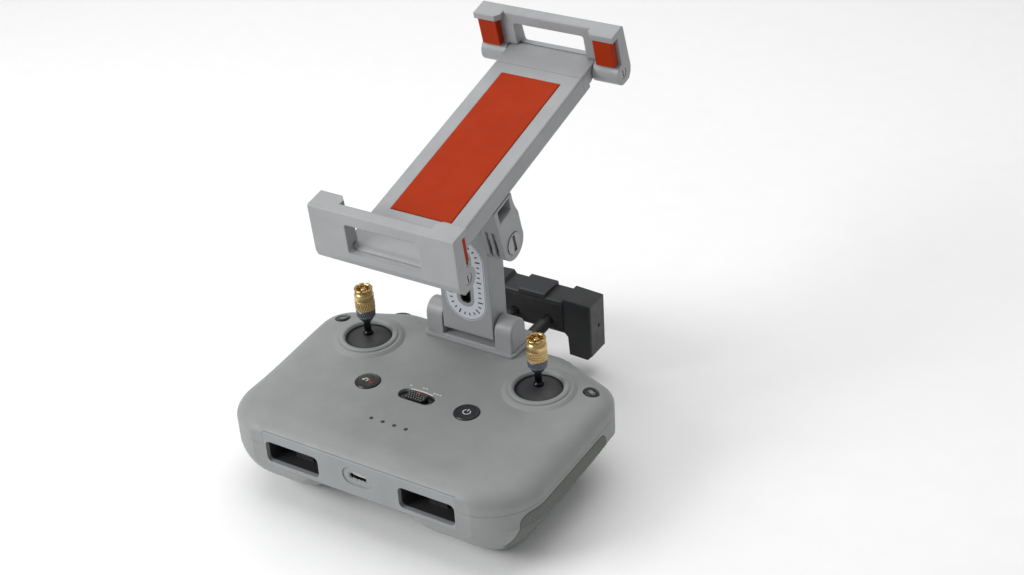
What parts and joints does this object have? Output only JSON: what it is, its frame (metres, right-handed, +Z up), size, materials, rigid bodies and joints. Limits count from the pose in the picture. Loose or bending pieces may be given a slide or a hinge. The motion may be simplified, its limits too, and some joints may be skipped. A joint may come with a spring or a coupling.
{
  "type": "radio transmitter controller",
  "caption": "Handheld two-stick radio transmitter with a sliding phone holder and a folding, tilting, extending tablet bracket with hooked jaws.",
  "frame": {"origin": "middle of the controller's footprint, on the plane the two hand grips rest on", "axes": "+X to the user's right, +Y away from the user towards the phone holder, +Z up out of the stick face"},
  "size_m": [0.1504, 0.1792, 0.1677],
  "materials": {
    "casing_grey": "fine satin texture",
    "side_pad": "fine moulded grain",
    "black_plastic": "satin",
    "black_gloss": "semi-gloss",
    "port_steel": "satin",
    "board_green": "solder mask",
    "pack_blue": "shrink wrap",
    "screw_steel": "polished",
    "switch_black": "plain",
    "lens_clear": "translucent light pipe",
    "shaft_steel": "dark nickel",
    "gunmetal": "knurled dark nickel",
    "brass": "polished and knurled",
    "holder_black": "satin",
    "antenna_copper": "copper foil",
    "rubber_black": "matte",
    "bracket_grey": "cool grey satin",
    "label_white": "printed plate",
    "orange_silicone": "silicone"
  },
  "bodies": {
    "casing": {"top_shell": "casing_grey", "bottom_shell": "casing_grey", "front_panel": "casing_grey", "left_side_grip": "side_pad", "right_side_grip": "side_pad", "left_stick_pocket": "black_plastic", "right_stick_pocket": "black_plastic", "usb_port": "port_steel", "main_board": "board_green", "battery_packs": "pack_blue", "case_screws": "screw_steel", "left_gimbal_bezel": "casing_grey", "right_gimbal_bezel": "casing_grey", "left_gimbal_frame": "black_plastic", "right_gimbal_frame": "black_plastic", "button_switches": "switch_black", "mode_switch_plate": "black_gloss", "charge_lights": "lens_clear", "dial_axle": "screw_steel", "rod_guides": "black_plastic", "bracket_base": "bracket_grey", "bracket_base_pad": "rubber_black", "base_hinge_pin": "screw_steel"},
    "left_ring": {"left_gimbal_ring": "black_plastic"},
    "left_stick": {"left_stick_dome": "black_plastic", "left_stick_shaft": "shaft_steel", "left_stick_collar": "gunmetal", "left_stick_cap": "brass"},
    "right_ring": {"right_gimbal_ring": "black_plastic"},
    "right_stick": {"right_stick_dome": "black_plastic", "right_stick_shaft": "shaft_steel", "right_stick_collar": "gunmetal", "right_stick_cap": "brass"},
    "power_key": {"power_button": "black_gloss"},
    "return_home_key": {"return_home_button": "black_gloss"},
    "photo_key": {"photo_button": "black_gloss"},
    "function_key": {"function_button": "black_gloss"},
    "mode_thumb": {"mode_slider": "black_gloss"},
    "dial_wheel": {"gimbal_dial": "black_plastic"},
    "shutter_key": {"shutter_button": "black_plastic"},
    "phone_holder": {"holder_bar": "holder_black", "holder_antennas": "antenna_copper", "holder_pad": "rubber_black", "holder_rods": "screw_steel", "rod_sleeves": "holder_black"},
    "arm": {"bracket_arm": "bracket_grey", "arm_scale_plate": "label_white", "arm_slot_liner": "black_gloss"},
    "tray_head": {"tray": "bracket_grey", "tray_mat": "orange_silicone", "tilt_bracket": "bracket_grey", "tilt_washers": "rubber_black", "tilt_bolt": "screw_steel"},
    "extension": {"tray_extension": "bracket_grey"},
    "upper_jaw_unit": {"upper_jaw": "bracket_grey", "upper_jaw_grips": "orange_silicone", "upper_jaw_pin": "screw_steel"},
    "lower_jaw_unit": {"lower_jaw": "bracket_grey", "lower_jaw_grips": "orange_silicone", "lower_jaw_pin": "screw_steel"}
  },
  "joints": [
    {"name": "left_stick_pitch", "type": "hinge", "parent": "casing", "child": "left_ring", "pos_m": [-0.044, 0.0217, 0.0263], "axis": [1, 0, 0], "range_deg": [-16, 16], "stiffness_Nm_per_rad": 0.05},
    {"name": "left_stick_roll", "type": "hinge", "parent": "left_ring", "child": "left_stick", "pos_m": [-0.044, 0.0217, 0.0263], "axis": [0, 1, 0], "range_deg": [-16, 16], "stiffness_Nm_per_rad": 0.05},
    {"name": "right_stick_pitch", "type": "hinge", "parent": "casing", "child": "right_ring", "pos_m": [0.044, 0.0217, 0.0263], "axis": [1, 0, 0], "range_deg": [-16, 16], "stiffness_Nm_per_rad": 0.05},
    {"name": "right_stick_roll", "type": "hinge", "parent": "right_ring", "child": "right_stick", "pos_m": [0.044, 0.0217, 0.0263], "axis": [0, 1, 0], "range_deg": [-16, 16], "stiffness_Nm_per_rad": 0.05},
    {"name": "power_press", "type": "slide", "parent": "casing", "child": "power_key", "axis": [0, 0, -1], "range_m": [0, 0.0006], "stiffness_N_per_m": 800},
    {"name": "return_home_press", "type": "slide", "parent": "casing", "child": "return_home_key", "axis": [0, 0, -1], "range_m": [0, 0.0006], "stiffness_N_per_m": 800},
    {"name": "photo_press", "type": "slide", "parent": "casing", "child": "photo_key", "axis": [-0.3332, -0.2333, -0.9135], "range_m": [0, 0.0006], "stiffness_N_per_m": 800},
    {"name": "function_press", "type": "slide", "parent": "casing", "child": "function_key", "axis": [0.3332, -0.2333, -0.9135], "range_m": [0, 0.0006], "stiffness_N_per_m": 800},
    {"name": "mode_slide", "type": "slide", "parent": "casing", "child": "mode_thumb", "axis": [1, 0, 0], "range_m": [-0.003, 0.003]},
    {"name": "dial_turn", "type": "hinge", "parent": "casing", "child": "dial_wheel", "pos_m": [-0.0444, 0.0469, 0.0338], "axis": [0, 0, 1], "range_deg": [-28, 28], "stiffness_Nm_per_rad": 0.02},
    {"name": "shutter_press", "type": "slide", "parent": "casing", "child": "shutter_key", "axis": [0, -1, 0], "range_m": [0, 0.001], "stiffness_N_per_m": 800},
    {"name": "holder_slide", "type": "slide", "parent": "casing", "child": "phone_holder", "axis": [0, 1, 0], "range_m": [-0.033, 0.045]},
    {"name": "base_fold", "type": "hinge", "parent": "casing", "child": "arm", "pos_m": [0, 0.0425, 0.0536], "axis": [1, 0, 0], "range_deg": [-25, 15]},
    {"name": "tray_tilt", "type": "hinge", "parent": "arm", "child": "tray_head", "pos_m": [0, 0.0433, 0.098], "axis": [1, 0, 0], "range_deg": [-30, 35]},
    {"name": "tray_extend", "type": "slide", "parent": "tray_head", "child": "extension", "axis": [0, 0.973, 0.2307], "range_m": [0, 0.04]},
    {"name": "upper_jaw_fold", "type": "hinge", "parent": "extension", "child": "upper_jaw_unit", "pos_m": [0, 0.12052, 0.14525], "axis": [1, 0, 0], "range_deg": [-90, 0]},
    {"name": "lower_jaw_fold", "type": "hinge", "parent": "tray_head", "child": "lower_jaw_unit", "pos_m": [0, -0.01064, 0.11415], "axis": [1, 0, 0], "range_deg": [0, 94]}
  ]
}
